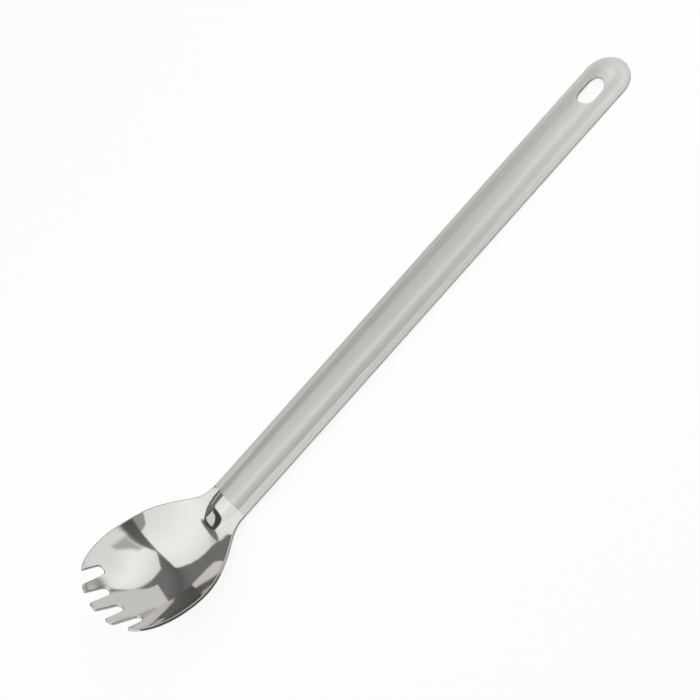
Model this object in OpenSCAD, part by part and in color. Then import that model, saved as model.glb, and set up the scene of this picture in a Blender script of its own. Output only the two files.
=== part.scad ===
// Long-handled spork, stamped from one piece of sheet: a polished bowl with
// five tines, and a blasted handle with a raised rib and a hanging slot.
// Lengths in mm. The spork lies along X with the tines at the low end,
// bowl opening up, resting on the bowl underside and the handle end.

/* [Overall] */
// tine tips to handle end, measured on the upper face
overall_l = 214; // [190:0.1:240]
// thickness of the sheet
sheet_t = 1.0; // [0.8:0.1:1.5]

/* [Bowl] */
// tine tips to where the neck meets the handle
bowl_l = 46; // [40:0.5:54]
// widest part of the bowl, rim to rim
bowl_w = 37; // [32:0.5:44]
// how far the tine tips stand above the handle edges
tip_rise = 15; // [11:0.5:18]
// how far the bowl floor lies under the crown of the handle
bowl_sink = 2.55; // [2:0.05:4]

/* [Tines] */
// lean of the front wall that carries the tines, in degrees
tine_lean = 47; // [40:1:54]
// tine tip to the root of an inner slot, along the wall
tine_l = 7.5; // [6:0.1:9]
// how much further back the roots of the outer slots lie
outer_back = 2; // [1:0.1:2.6]
// radius of the rounded slot roots
root_r = 1.5; // [1:0.1:1.8]
// middle line to the centre of an inner slot
inner_slot_y = 3.65; // [3:0.05:4.5]
// middle line to the centre of an outer slot
outer_slot_y = 10.5; // [9.5:0.05:12]
// width of a slot at its mouth
mouth_w = 5.8; // [4.6:0.1:6.2]
// radius of the curve on which the tine tips lie
tip_curve_r = 25; // [22:0.5:34]

/* [Handle] */
// width of the handle
handle_w = 15; // [13:0.5:18]
// rise of the handle middle over its edges, without the rib
crown_h = 0.15; // [0.1:0.05:0.5]
// how far ahead of the neck's end the polish stops
finish_lead = 0.6; // [0:0.1:2]

/* [Rib] */
// width of the raised rib at its foot, at the neck
rib_w = 10; // [9:0.1:11]
// width of the rib at its foot, at the handle end
rib_w_end = 12.6; // [11:0.1:13]
// height of the rib over the sheet around it
rib_h = 1.8; // [1.2:0.1:2.4]
// width of the rib wall near the neck
rib_wall = 2.8; // [2.4:0.1:3.6]
// width of the rib wall at the handle end
rib_wall_end = 4.6; // [3.8:0.1:5.4]
// foot of the rib nose, ahead of the neck's end
nose_lead = 10.5; // [9.5:0.1:11.5]
// length over which the nose widens to the rib
nose_l = 10.4; // [9:0.1:12]
// length of the slope of the nose
nose_wall = 7; // [6:0.1:8]
// edge of the handle end to the foot of the rib
rib_end_gap = 0.8; // [0.4:0.1:3]

/* [Hanging slot] */
// length of the slot
hang_l = 9.1; // [8:0.1:12]
// width of the slot
hang_w = 6.1; // [5:0.1:7]
// centre of the slot from the handle end
hang_in = 12.9; // [11:0.1:18]

/* [Hidden] */
$fn = 64;
// curves along the bowl, one share for each sixteenth of its length,
// the first one a step ahead of the tips
flare_shares = [-0.18, 0.11, 0.43, 0.69, 0.845, 0.936, 0.986, 1, 0.991, 0.959,
    0.9, 0.795, 0.645, 0.473, 0.273, 0.1, 0.014, 0];
rim_shares = [1.15, 1.053, 0.953, 0.86, 0.77, 0.677, 0.587, 0.497, 0.407, 0.327,
    0.257, 0.193, 0.137, 0.086, 0.038, 0.0125, 0.0095, 0];
front_shares = [1.273, 1.013, 0.768, 0.55, 0.357, 0.2, 0.09, 0.031, 0.007, 0,
    0, 0, 0, 0, 0, 0, 0, 0];
sink_shares = [0, 0, 0, 0, 0.045, 0.197, 0.394, 0.63, 0.864, 1,
    1, 0.883, 0.69, 0.448, 0.16, 0.038, 0.006, 0];
// columns of the sheet across half its width
half_shares = [0, 0.09, 0.18, 0.27, 0.36, 0.43, 0.5, 0.56, 0.61, 0.655, 0.72, 0.8, 0.9, 1];
side_shares = concat([for (i = [len(half_shares) - 1 : -1 : 1]) -half_shares[i]], half_shares);
// rows of the sheet along the handle
row_shares = [0, 0.02, 0.05, 0.09, 0.14, 0.2, 0.26, 0.32, 0.38, 0.44, 0.5, 0.56, 0.62, 0.68, 0.74,
    0.79, 0.82, 0.84, 0.86, 0.875, 0.89, 0.905, 0.92, 0.935, 0.95, 0.962, 0.974, 0.986, 1];
bowl_rows = 46;
cross_power = 2.2;
nose_power = 2.4;
wall_power = 1.35;
// where the underside of the bowl is lowest, as a share of its length
low_share = 0.53;
last_step = len(flare_shares) - 1;
pitch = bowl_l / (last_step - 1);
front_over = bowl_l / 40;
nudge = sheet_t / 50;
finish_x = bowl_l - finish_lead;
nose_x = bowl_l - nose_lead;
half_handle = handle_w / 2;
half_bowl = bowl_w / 2;
rib_to = overall_l - rib_end_gap - rib_w_end / 2;
tip_z = crown_h + tip_rise * front_shares[1];
over = sheet_t * 6;
// seat: bowl underside and handle end on the table
low_x = bowl_l * low_share;
low_z = floor_z(low_x) - sheet_t;
end_x = overall_l - half_handle;
seat_a = atan((-sheet_t - low_z) / (end_x - low_x));
seat_z = low_x * sin(seat_a) - low_z * cos(seat_a);
// lower edge of the middle tine, and the two ends as seated
lip_x = -sheet_t * sin(tine_lean);
lip_z = tip_z - sheet_t * cos(tine_lean);
front_x = lip_x * cos(seat_a) + lip_z * sin(seat_a);
back_x = overall_l * cos(seat_a) + crown_h * sin(seat_a);
mid_x = (front_x + back_x) / 2;

function clip(a) = min(max(a, 0), 1);
function mix(a, b, m) = a + (b - a) * m;
function soft(a) = a * a * (3 - 2 * a);
// smooth curve through a list of shares
function bend(a, b, c, d, m) = (2 * b + (c - a) * m + (2 * a - 5 * b + 4 * c - d) * m * m
    + (3 * b - a - 3 * c + d) * m * m * m) / 2;
function entry(list, i) = list[min(max(i, 0), last_step)];
function share_at(list, q) = let (i = floor(q))
    bend(entry(list, i - 1), entry(list, i), entry(list, i + 1), entry(list, i + 2), q - i);
function along(list, x) = share_at(list, min(max(x / pitch + 1, 0), last_step));
function half_width(x) = mix(half_handle, half_bowl, along(flare_shares, x));
function floor_z(x) = crown_h + tip_rise * along(front_shares, x) - bowl_sink * along(sink_shares, x);
function rim_z(x) = tip_rise * along(rim_shares, x);
function sheet_z(x, y) = mix(floor_z(x), rim_z(x), pow(abs(y) / half_width(x), cross_power));
// raised rib: steep at the foot near the neck, soft at its nose and at the handle end
function run(x) = clip((x - bowl_l) / (overall_l - bowl_l));
function fade(x) = soft(run(x) * run(x));
function half_rib(x) = mix(rib_w, rib_w_end, run(x)) / 2;
function ahead(x) = half_rib(x) * max(nose_x + nose_l - x, 0) / nose_l;
function nose_share(x, y) = let (d = ahead(x)) d * d / (d * d + y * y + nudge * nudge);
function wall_w(x, y) = mix(mix(rib_wall, rib_wall_end, fade(x)),
    nose_wall * half_rib(x) / nose_l, nose_share(x, y));
function blunt(a, b) = pow(pow(a, nose_power) + pow(b, nose_power), 1 / nose_power);
function spread(x, y) = x > rib_to ? norm([x - rib_to, y]) : blunt(ahead(x), abs(y));
function rib_share(x, y) = let (q = clip((half_rib(x) - spread(x, y)) / wall_w(x, y)))
    mix(1 - pow(1 - q, wall_power), soft(q), max(fade(x), nose_share(x, y)));
function top_z(x, y) = sheet_z(x, y) + rib_h * rib_share(x, y);
// upper face, and the lower face one sheet under it
function upper(x, y) = [x, y, top_z(x, y)];
function slope_x(x, y) = (top_z(x + nudge, y) - top_z(x - nudge, y)) / (2 * nudge);
function slope_y(x, y) = (top_z(x, y + nudge) - top_z(x, y - nudge)) / (2 * nudge);
function normal(x, y) = let (n = [-slope_x(x, y), -slope_y(x, y), 1]) n / norm(n);
function lower(x, y) = upper(x, y) - sheet_t * normal(x, y);

// two triangles over four corners
function pair(a, b, c, d) = [[a, b, c], [a, c, d]];

// closed sheet over a list of rows
module sheet(xs) {
    m = len(side_shares);
    r = len(xs);
    k = r * m;
    e = k - m;
    tops = [for (x = xs) for (v = side_shares) upper(x, v * half_width(x))];
    unders = [for (x = xs) for (v = side_shares) lower(x, v * half_width(x))];
    cells = [for (i = [0 : r - 2]) for (j = [0 : m - 2]) i * m + j];
    sides = [for (i = [0 : r - 2]) i * m];
    faces = concat(
        [for (c = cells) for (f = pair(c, c + 1, c + m + 1, c + m)) f],
        [for (c = cells) for (f = pair(k + c, k + c + m, k + c + m + 1, k + c + 1)) f],
        [for (c = sides) for (f = pair(c, c + m, k + c + m, k + c)) f],
        [for (c = sides) let (d = c + m - 1) for (f = pair(d, k + d, k + d + m, d + m)) f],
        [for (j = [0 : m - 2]) for (f = pair(j, k + j, k + j + 1, j + 1)) f],
        [for (j = [e : k - 2]) for (f = pair(j, j + 1, k + j + 1, k + j)) f]
    );
    polyhedron(points = concat(tops, unders), faces = faces);
}

// lays the spork on the table with its middle over the origin
module seated() {
    translate([-mid_x, 0, seat_z]) rotate([0, seat_a, 0]) children();
}

// frame of the front wall: low X runs up the wall to the tips
module on_front_wall() {
    translate([0, 0, tip_z]) rotate([0, tine_lean, 0]) children();
}

// cutter for one slot between two tines
module tine_slot(y, deep) {
    mouth_x = -deep - over;
    translate([deep - root_r, y, -over]) {
        cylinder(r = root_r, h = 2 * over);
        linear_extrude(height = 2 * over)
            polygon([[0, root_r], [0, -root_r], [mouth_x, -mouth_w / 2], [mouth_x, mouth_w / 2]]);
    }
}

// cutter that rounds the row of tine tips
module tip_trim() {
    difference() {
        translate([-over, -bowl_w, -over]) cube([over + tine_l, 2 * bowl_w, 2 * over]);
        translate([tip_curve_r, 0, -2 * over]) cylinder(r = tip_curve_r, h = 4 * over);
    }
}

// cutter that rounds the handle end
module end_trim() {
    difference() {
        translate([end_x, -handle_w, -over]) cube([handle_w, 2 * handle_w, 2 * over]);
        translate([end_x, 0, -2 * over]) cylinder(r = half_handle, h = 4 * over);
    }
}

// cutter for the hanging slot
module hang_slot() {
    straight = hang_l - hang_w;
    translate([overall_l - hang_in, 0, -over]) {
        for (s = [-1, 1]) translate([s * straight / 2, 0, 0]) cylinder(r = hang_w / 2, h = 2 * over);
        translate([-straight / 2, -hang_w / 2, 0]) cube([straight, hang_w, 2 * over]);
    }
}

// polished bowl with tines and neck
module bowl() {
    color([0.78, 0.77, 0.75]) seated() difference() {
        sheet([for (i = [0 : bowl_rows]) mix(-front_over, finish_x, i / bowl_rows)]);
        on_front_wall() {
            for (s = [-1, 1]) {
                tine_slot(s * inner_slot_y, tine_l);
                tine_slot(s * outer_slot_y, tine_l + outer_back);
            }
            tip_trim();
        }
    }
}

// blasted handle with rib and hanging slot
module handle() {
    color([0.7, 0.69, 0.67]) seated() difference() {
        sheet([for (q = row_shares) mix(finish_x, overall_l, q)]);
        end_trim();
        hang_slot();
    }
}

bowl();
handle();
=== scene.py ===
"""A long-handled spork stamped from titanium sheet: polished bowl with tines, bead-blasted handle.

All shapes are worked out in millimetres along the sheet: S runs from the tine tips to the handle end,
Y across, and Z is the height over the handle's edges. The last step seats the spork on the table,
in metres.
"""

import bpy
import numpy as np
from mathutils import Matrix


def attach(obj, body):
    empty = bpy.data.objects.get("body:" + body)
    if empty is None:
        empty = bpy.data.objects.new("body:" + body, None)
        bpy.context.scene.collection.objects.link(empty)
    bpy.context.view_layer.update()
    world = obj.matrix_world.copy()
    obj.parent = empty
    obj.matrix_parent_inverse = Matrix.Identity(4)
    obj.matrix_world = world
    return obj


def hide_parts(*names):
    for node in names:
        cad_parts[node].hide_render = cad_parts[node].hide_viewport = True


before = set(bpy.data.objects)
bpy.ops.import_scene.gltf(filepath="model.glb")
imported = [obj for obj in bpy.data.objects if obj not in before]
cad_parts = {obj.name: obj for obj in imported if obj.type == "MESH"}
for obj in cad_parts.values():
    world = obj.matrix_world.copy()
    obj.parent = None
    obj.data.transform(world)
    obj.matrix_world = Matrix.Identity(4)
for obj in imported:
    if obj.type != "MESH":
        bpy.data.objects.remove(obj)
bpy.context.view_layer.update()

MM = 0.001

# sizes of the part in millimetres, as in its source
LENGTH = 214.0                   # tine tips to handle end
SHEET = 1.0                      # thickness of the sheet
BOWL_L = 46.0                    # tine tips to where the neck meets the handle
BOWL_W = 37.0                    # widest part of the bowl
TIP_RISE = 15.0                  # tine tips over the handle's edges
BOWL_SINK = 2.55                 # bowl floor under the handle's crown
TINE_LEAN = np.radians(47.0)     # lean of the front wall that carries the tines
TINE_L = 7.5                     # tine tip to the root of an inner slot
OUTER_BACK = 2.0                 # how much further back the outer roots lie
ROOT_R = 1.5                     # rounded root of a slot
INNER_SLOT_Y = 3.65              # middle line to an inner slot
OUTER_SLOT_Y = 10.5              # middle line to an outer slot
MOUTH_W = 5.8                    # width of a slot at its mouth
MOUTH_OVER = 6.0 * SHEET         # overrun of the slot cuts past the tips
TIP_CURVE_R = 25.0               # curve on which the tine tips lie
HANDLE_W = 15.0                  # width of the handle
CROWN_H = 0.15                   # rise of the handle's middle, without the rib
FINISH_LEAD = 0.6                # how far ahead of the neck's end the polish stops
RIB_W = 10.0                     # foot of the rib, at the neck
RIB_W_END = 12.6                 # foot of the rib, at the handle end
RIB_H = 1.8                      # height of the rib
RIB_WALL = 2.8                   # width of the rib's wall near the neck
RIB_WALL_END = 4.6               # width of the rib's wall at the handle end
NOSE_LEAD = 10.5                 # foot of the rib's nose, ahead of the neck's end
NOSE_L = 10.4                    # length over which the nose widens to the rib
NOSE_WALL = 7.0                  # slope of the nose
RIB_END_GAP = 0.8                # handle end to the foot of the rib
HANG_L = 9.1                     # length of the hanging slot
HANG_W = 6.1                     # width of the hanging slot
HANG_IN = 12.9                   # centre of the hanging slot from the handle end

# how round the forms are, and where the bowl's underside is lowest, as a share of its length
CROSS_POWER = 2.2
NOSE_POWER = 2.4
WALL_POWER = 1.35
LOW_SHARE = 0.53

# curves along the bowl, one share for each sixteenth of its length, the first a step ahead of the tips
FLARE = np.array([-0.18, 0.11, 0.43, 0.69, 0.845, 0.936, 0.986, 1, 0.991, 0.959,
                  0.9, 0.795, 0.645, 0.473, 0.273, 0.1, 0.014, 0])
RIM = np.array([1.15, 1.053, 0.953, 0.86, 0.77, 0.677, 0.587, 0.497, 0.407, 0.327,
                0.257, 0.193, 0.137, 0.086, 0.038, 0.0125, 0.0095, 0])
FRONT = np.array([1.273, 1.013, 0.768, 0.55, 0.357, 0.2, 0.09, 0.031, 0.007, 0,
                  0, 0, 0, 0, 0, 0, 0, 0])
SINK = np.array([0, 0, 0, 0, 0.045, 0.197, 0.394, 0.63, 0.864, 1,
                 1, 0.883, 0.69, 0.448, 0.16, 0.038, 0.006, 0])
LAST = len(FLARE) - 1
PITCH = BOWL_L / (LAST - 1)

# places that follow from the sizes
FINISH_S = BOWL_L - FINISH_LEAD
NOSE_S = BOWL_L - NOSE_LEAD
RIB_TO = LENGTH - RIB_END_GAP - RIB_W_END / 2
END_S = LENGTH - HANDLE_W / 2
TIP_Z = CROWN_H + TIP_RISE * FRONT[1]

# mesh and edges
CELL = 0.3                # spacing of the grid over the sheet
OVER_TIPS = 2.6           # how far the grid runs past the tine tips
OVER_END = CELL           # and past the handle end
BOWL_ROWS = int(round((FINISH_S + OVER_TIPS) / CELL))
HANDLE_ROWS = int(round((LENGTH + OVER_END - FINISH_S) / CELL))
SNAP = CELL * 0.55        # points this near the outline are moved onto it
SEAM_CLEAR = CELL * 0.6   # seam points further in than this keep a square edge
EDGE_R = 0.28             # rounding that tumbling leaves on the cut edges
EDGE_STEPS = 5            # steps round each rounding
EDGE_PASSES = 5           # steps that move a point onto the outline
LEAST_SLOPE = 0.5         # least slope that is taken for the gap, so that a step stays short
CORNER_R = 0.5            # softening where two cuts meet, at the tine tips
CREASE = 0.04             # softening of the rib's foot, as a share of its wall
TOP_ROUND = 0.3           # rounding that pressing leaves along the rib's top, as a share of its wall
NUDGE = SHEET / 50.0      # small step for slopes
TINY = 1e-12              # keeps a division from zero

# light tent in millimetres: each plane is the axis that it lies across and its place on that axis
ROOF = (2, 300.0)
UNDER_ROOF = (2, 298.0)
FAR_SIDE = (1, 450.0)
LEFT_SIDE = (0, -500.0)
PANEL_LEFT = [
    (12, -178), (9, -100), (3, 5), (-24, 210), (-144, 281), (-320, 458), (-334, 464), (-318, 330),
    (-306, 200), (-302, 100), (-304, -130), (-250, -195), (-200, -250), (-155, -298), (-85, -298),
    (-60, -215), (-45, -178)]
PANEL_RIGHT = [
    (14, 8), (28, -20), (55, -60), (82, -105), (102, -155), (112, -205), (112, -250), (122, -300),
    (130, -375), (215, -378), (280, -356), (332, -330), (388, -290), (442, -248), (488, -184),
    (536, -148), (628, -104), (682, -68), (720, -10), (795, 190), (830, 290), (920, 420), (1020, 570),
    (1010, 640), (880, 680), (600, 505), (400, 370), (200, 238), (88, 165)]
PANEL_BEYOND = [
    (895, 290), (1000, 405), (1110, 520), (1400, 800), (2400, 1500), (2400, -300), (800, -300)]
SEAM_LEFT = [(12, -178), (12, -310), (-85, -310), (-60, -215), (-45, -178)]
SEAM_RIGHT = [
    (74, -80), (118, -88), (150, -118), (285, -160), (290, -215), (165, -238), (116, -245),
    (108, -200), (96, -145)]
BOARD_FAR = [
    (55, -1), (55, 18), (360, 350), (440, 262), (520, 205), (600, 188), (1200, 150), (1200, -1)]
BOARD_LEFT = [(-500, 0), (500, 0), (500, 300), (-500, 300)]
TABLE_HALF = 4000.0       # half the width of the table top

# camera of the photograph
VIEW_TILT = np.radians(36.0)    # lean of the view from straight down
VIEW_ROLL = np.radians(48.3)    # turn of the picture, so that the handle runs up to the right
IMAGE_PX = 700.0                # width of the picture
FOCUS_PX = 1338.0               # focal length in the picture's pixels
PX_PER_MM = 3.5                 # scale of the picture at the point that it is aimed at
AIM_S = 100.4                   # that point along the spork
AIM_RISE = 2.83                 # and above the spork's middle line in the picture
SENSOR_W = 36.0
NEAR_CLIP = 10.0
FAR_CLIP = 20000.0

WHITE = "#FFFFFF"


def mix(a, b, m):
    """Straight blend from a to b."""
    return a + (b - a) * m


def soft(a):
    """Smooth step from 0 to 1."""
    return a * a * (3 - 2 * a)


def along(shares, s):
    """Smooth curve through evenly spaced shares: a cubic between each pair that keeps the slope
    of the neighbours."""
    q = np.clip(s / PITCH + 1, 0, LAST)
    i = np.floor(q).astype(int)
    m = q - i
    a, b, c, d = (shares[np.clip(i + k, 0, LAST)] for k in (-1, 0, 1, 2))
    square = 2 * a - 5 * b + 4 * c - d
    cube = 3 * b - a - 3 * c + d
    return (2 * b + (c - a) * m + square * m ** 2 + cube * m ** 3) / 2


def half_width(s):
    """Half the blank's width: the handle's, swelling to the bowl's by the flare curve."""
    return mix(HANDLE_W / 2, BOWL_W / 2, along(FLARE, s))


def floor_z(s):
    """Height of the middle line: the handle's crown, up the front wall and down into the bowl."""
    return CROWN_H + TIP_RISE * along(FRONT, s) - BOWL_SINK * along(SINK, s)


def sheet_z(s, y):
    """Height of the sheet without its rib: from the middle line to the rim, by a power of the share
    of the way across."""
    rim = TIP_RISE * along(RIM, s)
    return mix(floor_z(s), rim, (np.abs(y) / half_width(s)) ** CROSS_POWER)


def rib_share(s, y):
    """Rise of the rib, 0 to 1: the distance inside a long rounded outline over the wall's width,
    rounded off at the foot and the top. It is steep at the foot near the neck, and a soft step at the
    nose and at the handle end."""
    run = np.clip((s - BOWL_L) / (LENGTH - BOWL_L), 0, 1)
    fade = soft(run * run)
    half = mix(RIB_W, RIB_W_END, run) / 2
    ahead = half * np.maximum(NOSE_S + NOSE_L - s, 0) / NOSE_L
    nose = ahead ** 2 / (ahead ** 2 + y ** 2 + NUDGE ** 2)
    wall = mix(mix(RIB_WALL, RIB_WALL_END, fade), NOSE_WALL * half / NOSE_L, nose)
    blunt = (ahead ** NOSE_POWER + np.abs(y) ** NOSE_POWER) ** (1 / NOSE_POWER)
    spread = np.where(s > RIB_TO, np.hypot(s - RIB_TO, y), blunt)
    q = (half - spread) / wall
    q = (q + np.sqrt(q * q + CREASE ** 2)) / 2
    q = np.clip(1 - (1 - q + np.sqrt((1 - q) ** 2 + TOP_ROUND ** 2)) / 2, 0, 1)
    return mix(1 - (1 - q) ** WALL_POWER, soft(q), np.maximum(fade, nose))


def top_z(s, y):
    """Height of the upper face."""
    return sheet_z(s, y) + RIB_H * rib_share(s, y)


def slopes(f, s, y):
    """Slopes of a function along S and across Y, by small differences."""
    return ((f(s + NUDGE, y) - f(s - NUDGE, y)) / (2 * NUDGE),
            (f(s, y + NUDGE) - f(s, y - NUDGE)) / (2 * NUDGE))


def unit(v):
    """Rows of v at length 1."""
    return v / np.maximum(np.linalg.norm(v, axis=-1, keepdims=True), TINY)


def softer_of(a, b):
    """The smaller of two gaps, rounded off where they are nearly equal."""
    h = np.maximum(CORNER_R - np.abs(a - b), 0) / CORNER_R
    return np.minimum(a, b) - h * h * CORNER_R / 4


def cut_gap(s, y):
    """How far a point of the upper face lies inside the cut outline, negative where the sheet is cut
    away. The tine slots and the curve of the tips are cut square to the front wall, the rest square to
    the handle."""
    gap = half_width(s) - np.abs(y)
    up = s * np.cos(TINE_LEAN) - (top_z(s, y) - TIP_Z) * np.sin(TINE_LEAN)
    tips = np.where(up < TIP_CURVE_R, TIP_CURVE_R - np.hypot(up - TIP_CURVE_R, y), TIP_CURVE_R)
    slots = np.full_like(gap, LENGTH)
    for place, deep in ((INNER_SLOT_Y, TINE_L), (OUTER_SLOT_Y, TINE_L + OUTER_BACK)):
        root = deep - ROOT_R
        width = ROOT_R + (MOUTH_W / 2 - ROOT_R) * (root - up) / (deep + MOUTH_OVER)
        side = np.abs(np.abs(y) - place)
        slot = np.where(up < root, side - width, np.hypot(up - root, side) - ROOT_R)
        slots = np.minimum(slots, slot)
    end = np.where(s > END_S, HANDLE_W / 2 - np.hypot(s - END_S, y), gap)
    straight = (HANG_L - HANG_W) / 2
    hang = np.hypot(np.maximum(np.abs(s - LENGTH + HANG_IN) - straight, 0), y) - HANG_W / 2
    return np.minimum(np.minimum(softer_of(softer_of(gap, tips), slots), end), hang)


def edge_gap(s, y):
    """Plan distance to the line where the edge rounding starts, with the plan direction that leads
    inwards."""
    ds, dy = slopes(cut_gap, s, y)
    steep = np.maximum(np.hypot(ds, dy), LEAST_SLOPE)
    return cut_gap(s, y) / steep - EDGE_R, ds / steep, dy / steep


def to_edge(s, y):
    """Moves points onto that line, by a few steps along the inward direction."""
    for _ in range(EDGE_PASSES):
        gap, ds, dy = edge_gap(s, y)
        s, y = s - gap * ds, y - gap * dy
    return s, y


def seat(p):
    """Lays the spork on the table: turned about Y so that bowl and handle end touch it, with its middle
    over the origin."""
    low_s = BOWL_L * LOW_SHARE
    low_z = floor_z(np.array(low_s)) - SHEET
    turn = np.arctan((-SHEET - low_z) / (END_S - low_s))
    c, n = np.cos(turn), np.sin(turn)
    lip_s, lip_z = -SHEET * np.sin(TINE_LEAN), TIP_Z - SHEET * np.cos(TINE_LEAN)
    middle = (lip_s * c + lip_z * n + LENGTH * c + CROWN_H * n) / 2
    rise = low_s * n - low_z * c
    s, y, z = p[..., 0], p[..., 1], p[..., 2]
    return np.stack([s * c + z * n - middle, y, z * c - s * n + rise], -1) * MM


def seat_turn(v):
    """Turns directions the same way, without the shift and the scale."""
    return (seat(v) - seat(np.zeros(3))) / MM


def trimmed_grid(first_row, last_row):
    """Square grid in plan, from row to row counted from the seam, trimmed to the cut outline: points
    near the outline are moved onto it, and triangles outside it are dropped. Gives S and Y of the points,
    which of them lie on the seam, and the triangles."""
    row = np.arange(first_row, last_row + 1)
    half = int(np.ceil(BOWL_W / 2 / CELL)) + 2
    s, y = np.meshgrid(FINISH_S + row * CELL, np.arange(-half, half + 1) * CELL, indexing="ij")
    rows, cols = s.shape
    s, y = s.ravel(), y.ravel()
    at_seam = np.repeat(row == 0, cols)
    gap, _, _ = edge_gap(s, y)
    near = np.abs(gap) < SNAP
    s[near], y[near] = to_edge(s[near], y[near])
    s[at_seam] = FINISH_S
    state = np.where(near, 0, np.sign(gap))

    a = (np.arange(rows - 1)[:, None] * cols + np.arange(cols - 1)[None, :]).ravel()
    b, c, d = a + cols, a + cols + 1, a + 1
    cross = state[a] * state[c] < 0
    tris = np.concatenate([
        np.stack([a, b, c], -1)[~cross], np.stack([a, c, d], -1)[~cross],
        np.stack([a, b, d], -1)[cross], np.stack([b, c, d], -1)[cross]])
    keep = (state[tris] >= 0).all(-1)
    middle_gap, _, _ = edge_gap(s[tris].mean(-1), y[tris].mean(-1))
    keep &= (state[tris] > 0).any(-1) | (middle_gap > 0)
    tris = tris[keep]

    used = np.unique(tris)
    index = np.full(len(s), -1)
    index[used] = np.arange(len(used))
    return s[used], y[used], at_seam[used], index[tris]


def free_edges(tris, count):
    """Edges that only one triangle has, in the direction in which it goes round."""
    ways = np.concatenate([tris[:, [0, 1]], tris[:, [1, 2]], tris[:, [2, 0]]])
    codes = ways[:, 0] * count + ways[:, 1]
    return ways[~np.isin(codes, ways[:, 1] * count + ways[:, 0])]


def edge_out(s, y, zs, zy, normal, at_seam):
    """Directions that lead out of the sheet at its free edges: in the face and square to the cut line.
    They are zero on the seam, where the edge stays square."""
    gap, inward_s, inward_y = edge_gap(s, y)
    line = np.stack([-inward_y, inward_s, -inward_y * zs + inward_s * zy], -1)
    out = unit(np.cross(normal, line))
    out *= np.sign(-(out[:, :1] * inward_s[:, None] + out[:, 1:2] * inward_y[:, None]))
    out[at_seam & (gap > SEAM_CLEAR)] = 0.0
    return out


def edge_rings(top, normal, out):
    """Rings of points round a free edge with their normals: a quarter round from the upper face to the
    side, and a quarter round from the side to the lower face."""
    turn = np.linspace(0, np.pi / 2, EDGE_STEPS)[:, None, None]
    outward = np.sin(turn) * out
    down = (1 - np.cos(turn)) * normal
    high = top + EDGE_R * (outward - down)
    low = top - SHEET * normal + EDGE_R * (outward + down)
    high_normal = outward + np.cos(turn) * normal
    low_normal = outward - np.cos(turn) * normal
    return (np.concatenate([high[1:], low[:0:-1]]),
            unit(np.concatenate([high_normal[1:], low_normal[:0:-1]])))


def shell(name, points, normals, faces):
    """A smooth mesh from a closed surface of triangles, seated on the table, with its own normals."""
    mesh = bpy.data.meshes.new(name)
    mesh.vertices.add(len(points))
    mesh.vertices.foreach_set("co", seat(points).ravel())
    mesh.loops.add(faces.size)
    mesh.loops.foreach_set("vertex_index", faces.ravel())
    mesh.polygons.add(len(faces))
    mesh.polygons.foreach_set("loop_start", np.arange(len(faces)) * 3)
    mesh.polygons.foreach_set("use_smooth", np.ones(len(faces), bool))
    mesh.update()
    mesh.validate()
    mesh.normals_split_custom_set_from_vertices(seat_turn(normals))
    piece = bpy.data.objects.new(name, mesh)
    bpy.context.collection.objects.link(piece)
    return piece


def stamped(name, first_row, last_row):
    """One stretch of the stamping as a closed shell: a trimmed grid laid on the upper face, the same
    moved a sheet thickness down along its normals, and a strip with two quarter rounds that joins them
    along every free edge."""
    s, y, at_seam, tris = trimmed_grid(first_row, last_row)
    count = len(s)
    free = free_edges(tris, count)
    rim = np.unique(free)
    on_cut = np.setdiff1d(rim, np.flatnonzero(at_seam))
    s[on_cut], y[on_cut] = to_edge(s[on_cut], y[on_cut])

    zs, zy = slopes(top_z, s, y)
    top = np.stack([s, y, top_z(s, y)], -1)
    normal = unit(np.stack([-zs, -zy, np.ones_like(zs)], -1))
    out = edge_out(s[rim], y[rim], zs[rim], zy[rim], normal[rim], at_seam[rim])
    rings, ring_normals = edge_rings(top[rim], normal[rim], out)
    points = np.concatenate([top, top - SHEET * normal, rings.reshape(-1, 3)])
    normals = np.concatenate([normal, -normal, ring_normals.reshape(-1, 3)])

    upper = np.arange(count)
    place = np.full(count, -1)
    place[rim] = np.arange(len(rim))
    around = [2 * count + k * len(rim) + place for k in range(len(rings))]
    levels = [upper, *around, upper + count]
    p, q = free[:, 0], free[:, 1]
    strip = [np.stack([u[q], u[p], v[p], v[q]], -1) for u, v in zip(levels[:-1], levels[1:])]
    quads = np.concatenate(strip)
    faces = np.concatenate([tris, tris[:, ::-1] + count, quads[:, [0, 1, 2]], quads[:, [0, 2, 3]]])
    return shell(name, points, normals, faces)


def linear(hex_colour):
    """sRGB hex to the linear colour that shaders use."""
    c = np.array([int(hex_colour[i:i + 2], 16) for i in (1, 3, 5)]) / 255
    c = np.where(c <= 0.04045, c / 12.92, ((c + 0.055) / 1.055) ** 2.4)
    return (*c.tolist(), 1.0)


def add(tree, kind, links=None, **settings):
    """Adds one node: settings by name, plain values on its sockets, and links from other nodes' sockets."""
    node = tree.nodes.new(kind)
    for key, value in settings.items():
        setattr(node, key, value)
    for socket, value in (links or {}).items():
        if isinstance(value, bpy.types.NodeSocket):
            tree.links.new(value, node.inputs[socket])
        else:
            node.inputs[socket].default_value = value
    return node


def new_material(name):
    """An empty node material with its output."""
    material = bpy.data.materials.new(name)
    material.use_nodes = True
    tree = material.node_tree
    tree.nodes.clear()
    return material, tree, tree.nodes.new("ShaderNodeOutputMaterial")


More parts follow.
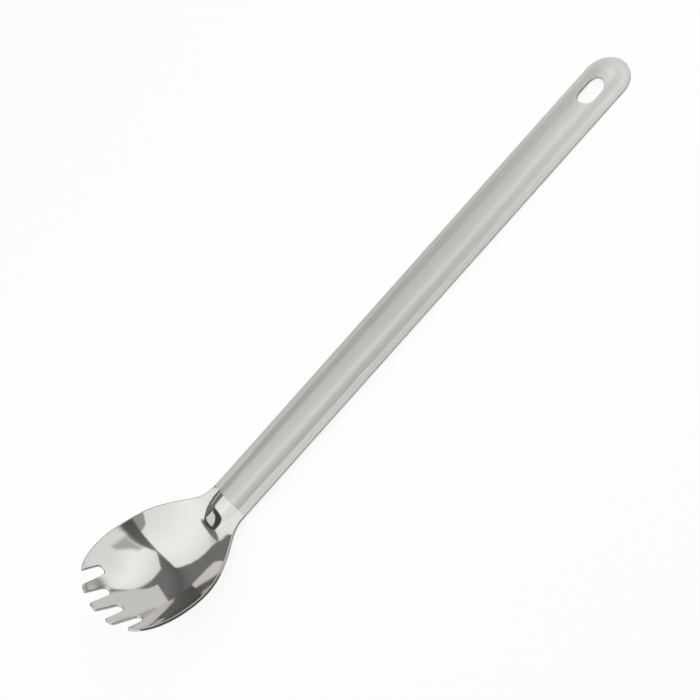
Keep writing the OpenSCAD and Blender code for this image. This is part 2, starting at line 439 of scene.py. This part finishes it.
def polished_titanium():
    """Titanium sheet, buffed after forming: a clear, slightly warm mirror with a faint haze that comes
    and goes over a few millimetres."""
    haze_size = 6 * MM
    material, tree, out = new_material("polished_titanium")
    where = add(tree, "ShaderNodeTexCoord").outputs["Object"]
    haze = add(tree, "ShaderNodeTexNoise", {"Vector": where, "Scale": 1 / haze_size, "Detail": 3.0})
    rough = add(tree, "ShaderNodeMapRange", {
        "Value": haze.outputs["Fac"], "From Min": 0.3, "From Max": 0.7, "To Min": 0.05, "To Max": 0.1})
    body = add(tree, "ShaderNodeBsdfPrincipled", {
        "Base Color": linear("#D5D3CF"), "Metallic": 1.0, "Roughness": rough.outputs["Result"]})
    tree.links.new(body.outputs["BSDF"], out.inputs["Surface"])
    return material


def blasted_titanium():
    """Titanium sheet, bead-blasted: an even satin grey with a fine grain of tiny dents, a little darker
    in patches where the beads hit harder. The real dents are about 0.05 mm; drawn at 0.2 mm so they
    show."""
    dent_size, dent_depth, patch_size = 0.2 * MM, 0.02 * MM, 9 * MM
    material, tree, out = new_material("bead_blasted_titanium")
    where = add(tree, "ShaderNodeTexCoord").outputs["Object"]
    grain = add(tree, "ShaderNodeTexNoise", {"Vector": where, "Scale": 1 / dent_size, "Detail": 2.0})
    patch = add(tree, "ShaderNodeTexNoise", {"Vector": where, "Scale": 1 / patch_size, "Detail": 3.0})
    tone = add(tree, "ShaderNodeMix", {
        "Factor": patch.outputs["Fac"], 6: linear("#E7E6E2"), 7: linear("#EBEAE6")}, data_type="RGBA")
    rough = add(tree, "ShaderNodeMapRange", {
        "Value": grain.outputs["Fac"], "From Min": 0.3, "From Max": 0.7, "To Min": 0.55, "To Max": 0.65})
    dents = add(tree, "ShaderNodeBump", {
        "Height": grain.outputs["Fac"], "Strength": 0.12, "Distance": dent_depth})
    body = add(tree, "ShaderNodeBsdfPrincipled", {
        "Base Color": tone.outputs[2], "Metallic": 1.0, "Roughness": rough.outputs["Result"],
        "Normal": dents.outputs["Normal"]})
    tree.links.new(body.outputs["BSDF"], out.inputs["Surface"])
    return material


def white_floor():
    """Plain white table: white to the camera with a faint shadow, and a white with a natural shadow in
    the polish."""
    material, tree, out = new_material("white_floor")
    path = add(tree, "ShaderNodeLightPath")
    glow = add(tree, "ShaderNodeEmission", {"Color": linear(WHITE), "Strength": 0.9})
    faint = add(tree, "ShaderNodeBsdfDiffuse", {"Color": (0.12, 0.12, 0.12, 1.0)})
    seen = add(tree, "ShaderNodeAddShader", {0: glow.outputs[0], 1: faint.outputs[0]})
    paint = add(tree, "ShaderNodeBsdfDiffuse", {"Color": (0.85, 0.85, 0.85, 1.0)})
    both = add(tree, "ShaderNodeMixShader", {
        0: path.outputs["Is Camera Ray"], 1: paint.outputs[0], 2: seen.outputs[0]})
    tree.links.new(both.outputs[0], out.inputs["Surface"])
    return material


def board_glow(name, level, lamp):
    """Glow of one board, clear where its cover is 0. It has an even level or, with a long lamp behind
    the board, one that falls on both sides of the lamp, given by the direction across it, its place that
    way, a reach and the last level."""
    material, tree, out = new_material(name)
    strength = level
    if lamp:
        across, place, reach, last = lamp
        where = add(tree, "ShaderNodeTexCoord").outputs["Object"]
        way = add(tree, "ShaderNodeVectorMath", {0: where, 1: across}, operation="DOT_PRODUCT")
        off = add(tree, "ShaderNodeMath", {0: way.outputs["Value"], 1: place * MM}, operation="SUBTRACT")
        gap = add(tree, "ShaderNodeMath", {0: off.outputs[0]}, operation="ABSOLUTE")
        fall = add(tree, "ShaderNodeMapRange", {
            "Value": gap.outputs[0], "From Max": reach * MM, "To Min": level, "To Max": last},
            interpolation_type="SMOOTHSTEP")
        strength = fall.outputs[0]
    glow = add(tree, "ShaderNodeEmission", {"Color": linear(WHITE), "Strength": strength})
    clear = add(tree, "ShaderNodeBsdfTransparent")
    cover = add(tree, "ShaderNodeAttribute", attribute_name="cover")
    both = add(tree, "ShaderNodeMixShader", {
        0: cover.outputs["Fac"], 1: clear.outputs[0], 2: glow.outputs[0]})
    tree.links.new(both.outputs[0], out.inputs["Surface"])
    return material


def board(name, plane, outline, level, border, lamp=None):
    """One flat board of the light tent, from its outline on a plane. A border of the given width, half
    inside the outline and half outside it, fades from full cover to none. The board lights the spork
    and shows in its polish, but hides nothing from the camera."""
    line = np.array(outline, float)
    after = np.roll(line, -1, 0)
    edge = unit(after - line)
    area = np.sum(line[:, 0] * after[:, 1] - line[:, 1] * after[:, 0])
    away = np.stack([edge[:, 1], -edge[:, 0]], -1) * np.sign(area)
    step = border / 2 * unit(away + np.roll(away, 1, 0))
    count = len(line)
    axis, place = plane
    points = np.insert(np.concatenate([line - step, line + step]), axis, place, axis=1) * MM
    ring = [[k, (k + 1) % count, count + (k + 1) % count, count + k] for k in range(count)]
    mesh = bpy.data.meshes.new(name)
    mesh.from_pydata(points.tolist(), [], [list(range(count))] + ring)
    cover = mesh.attributes.new("cover", "FLOAT", "POINT")
    cover.data.foreach_set("value", np.repeat([1.0, 0.0], count))
    mesh.materials.append(board_glow(name, level, lamp))
    sheet = bpy.data.objects.new(name, mesh)
    sheet.visible_camera = False
    bpy.context.collection.objects.link(sheet)


def light_tent():
    """A small light tent, open towards the camera: three panels overhead, dim seams beside two of them,
    a grey board on the far side and a pale board on the left."""
    board("panel_left", ROOF, PANEL_LEFT, level=1.25, border=6.0,
          lamp=((0.37, 0.93, 0.0), 20.0, 250.0, 1.05))
    board("panel_right", ROOF, PANEL_RIGHT, level=1.23, border=12.0,
          lamp=((-0.62, 0.78, 0.0), -147.0, 220.0, 1.0))
    board("panel_beyond", ROOF, PANEL_BEYOND, level=0.75, border=12.0)
    board("seam_left", UNDER_ROOF, SEAM_LEFT, level=0.42, border=14.0)
    board("seam_right", UNDER_ROOF, SEAM_RIGHT, level=0.57, border=44.0)
    board("board_far", FAR_SIDE, BOARD_FAR, level=0.8, border=6.0)
    board("board_left", LEFT_SIDE, BOARD_LEFT, level=0.9, border=6.0)


def surround():
    """Darkness beyond the tent, by direction, and plain white for the camera. On the far side it is
    darkest a little right of the middle, on the near side it darkens towards the horizon, and past the
    tines it is nearly black."""
    world = bpy.data.worlds.new("studio")
    bpy.context.scene.world = world
    world.use_nodes = True
    tree = world.node_tree
    tree.nodes.clear()
    out = tree.nodes.new("ShaderNodeOutputWorld")
    where = add(tree, "ShaderNodeSeparateXYZ", {0: add(tree, "ShaderNodeTexCoord").outputs["Generated"]})
    off = add(tree, "ShaderNodeMath", {0: where.outputs["X"], 1: 0.2}, operation="SUBTRACT")
    gap = add(tree, "ShaderNodeMath", {0: off.outputs[0]}, operation="ABSOLUTE")
    far = add(tree, "ShaderNodeMapRange", {
        "Value": gap.outputs[0], "From Max": 0.25, "To Min": 0.145, "To Max": 0.22})
    near = add(tree, "ShaderNodeMapRange", {
        "Value": where.outputs["Y"], "From Min": -0.75, "From Max": -0.2, "To Min": 0.11, "To Max": 0.21})
    turn = add(tree, "ShaderNodeMapRange", {
        "Value": where.outputs["Y"], "From Min": 0.0, "From Max": 0.3})
    sides = add(tree, "ShaderNodeMix", {0: turn.outputs[0], 2: near.outputs[0], 3: far.outputs[0]})
    end = add(tree, "ShaderNodeMapRange", {
        "Value": where.outputs["X"], "From Min": -0.58, "From Max": -0.38, "To Min": 0.07, "To Max": 1.0})
    dark = add(tree, "ShaderNodeMath", {0: sides.outputs[0], 1: end.outputs[0]}, operation="MINIMUM")
    path = add(tree, "ShaderNodeLightPath")
    shown = add(tree, "ShaderNodeMix", {0: path.outputs["Is Camera Ray"], 2: dark.outputs[0], 3: 1.0})
    glow = add(tree, "ShaderNodeBackground", {"Color": linear(WHITE), "Strength": shown.outputs[0]})
    tree.links.new(glow.outputs[0], out.inputs["Surface"])


def table_top():
    """Square table top at the height where the spork rests, as a grid of two by two squares."""
    side = np.linspace(-TABLE_HALF, TABLE_HALF, 3) * MM
    u, v = np.meshgrid(side, side, indexing="ij")
    points = np.stack([u, v, np.zeros_like(u)], -1).reshape(-1, 3)
    cell = (np.arange(2)[:, None] * 3 + np.arange(2)[None, :]).ravel()
    faces = np.stack([cell, cell + 3, cell + 4, cell + 1], -1)
    mesh = bpy.data.meshes.new("table")
    mesh.from_pydata(points.tolist(), [], faces.tolist())
    table = bpy.data.objects.new("table", mesh)
    bpy.context.collection.objects.link(table)
    table.data.materials.append(white_floor())


def camera():
    """Camera of the photograph: 54 degrees up on the near side, at the distance that gives the picture
    its scale."""
    ahead = np.array([1.0, 0.0, 0.0])
    rise = np.array([0.0, np.cos(VIEW_TILT), np.sin(VIEW_TILT)])
    back = np.array([0.0, -np.sin(VIEW_TILT), np.cos(VIEW_TILT)])
    right = np.cos(VIEW_ROLL) * ahead - np.sin(VIEW_ROLL) * rise
    up = np.sin(VIEW_ROLL) * ahead + np.cos(VIEW_ROLL) * rise
    eye = AIM_S * ahead + AIM_RISE * rise + FOCUS_PX / PX_PER_MM * back
    turn = np.eye(4)
    turn[:3, :3] = np.stack([seat_turn(right), seat_turn(up), seat_turn(back)], -1)
    turn[:3, 3] = seat(eye)

    lens = bpy.data.cameras.new("camera")
    lens.sensor_width = SENSOR_W
    lens.lens = FOCUS_PX / IMAGE_PX * SENSOR_W
    lens.clip_start = NEAR_CLIP * MM
    lens.clip_end = FAR_CLIP * MM
    viewer = bpy.data.objects.new("camera", lens)
    bpy.context.collection.objects.link(viewer)
    viewer.matrix_world = Matrix(turn.tolist())
    bpy.context.scene.camera = viewer


camera()
light_tent()
surround()
table_top()

bowl = stamped("polished_bowl", -BOWL_ROWS, 0)
bowl.data.materials.append(polished_titanium())
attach(bowl, "root")
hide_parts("bowl")

handle = stamped("blasted_handle", 0, HANDLE_ROWS)
handle.data.materials.append(blasted_titanium())
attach(handle, "root")
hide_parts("handle")

bpy.context.scene.view_settings.view_transform = "Standard"
